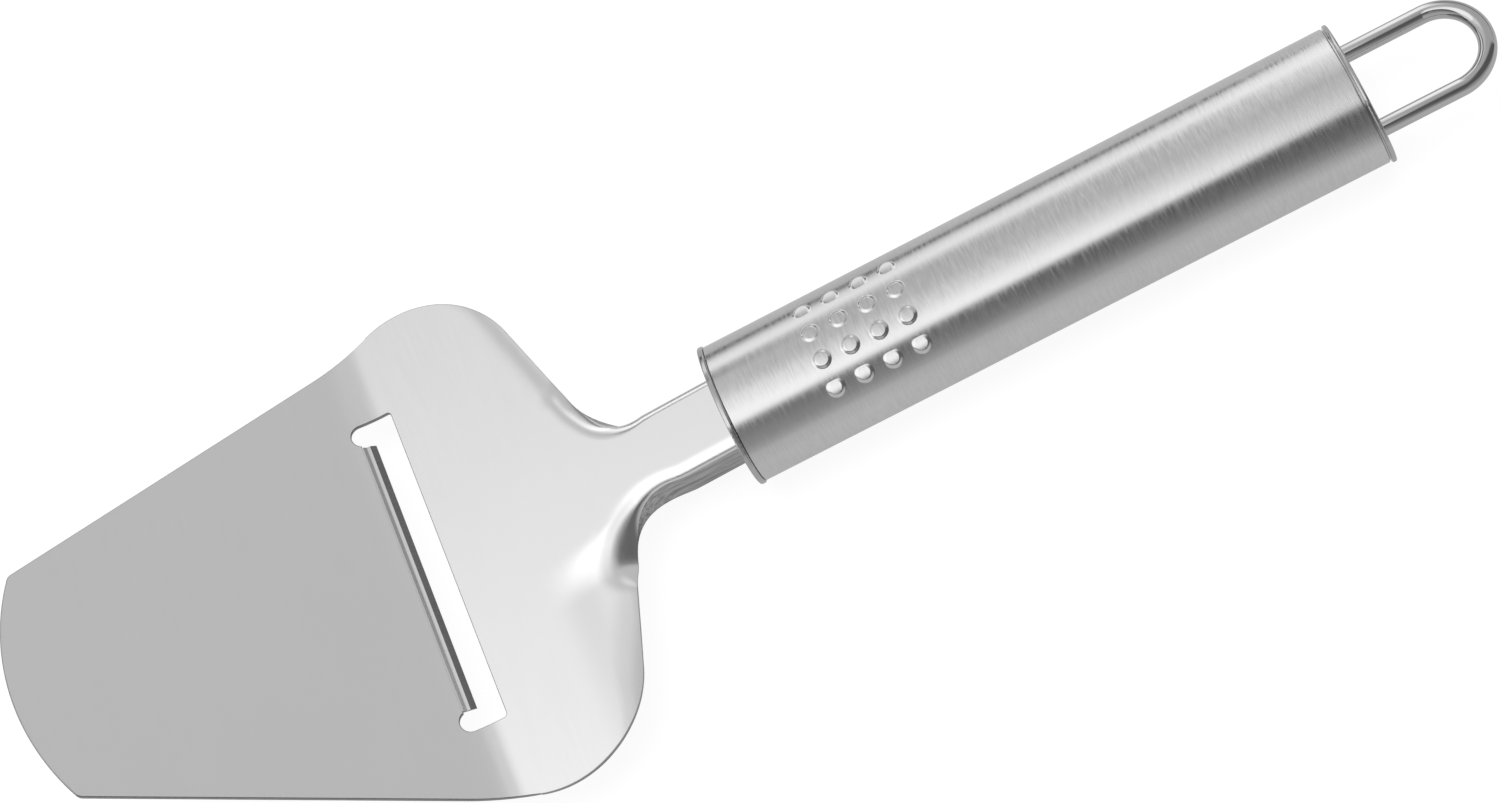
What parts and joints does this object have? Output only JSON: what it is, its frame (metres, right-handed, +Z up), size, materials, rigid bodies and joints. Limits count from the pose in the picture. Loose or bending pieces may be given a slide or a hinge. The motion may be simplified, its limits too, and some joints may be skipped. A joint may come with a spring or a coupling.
{
  "type": "cheese slicer",
  "caption": "Hand-held stainless steel cheese slicer: pressed blade with a cutting slot, oval hollow handle with grip dots, and a hanging loop.",
  "frame": {"origin": "under the middle of the whole slicer, on the plane that the handle's front rim and rear flange rest on", "axes": "+X along the handle from the blade's tip to the hanging loop, +Y across the blade, +Z up from the blade's top face"},
  "size_m": [0.2482, 0.0876, 0.0369],
  "materials": {
    "blade_steel": "stainless sheet, satin front plate and brighter rear plate",
    "tube_steel": "stainless tube, brushed round the handle",
    "cap_steel": "stainless, polished rims",
    "loop_wire": "stainless wire, polished",
    "weld_metal": "dull weld bead, hidden in the handle"
  },
  "bodies": {
    "root": {"blade": "blade_steel", "front_cap": "cap_steel", "neck_welds": "weld_metal", "handle_tube": "tube_steel", "rear_cap": "cap_steel", "hanging_loop": "loop_wire", "loop_welds": "weld_metal"}
  },
  "joints": []
}
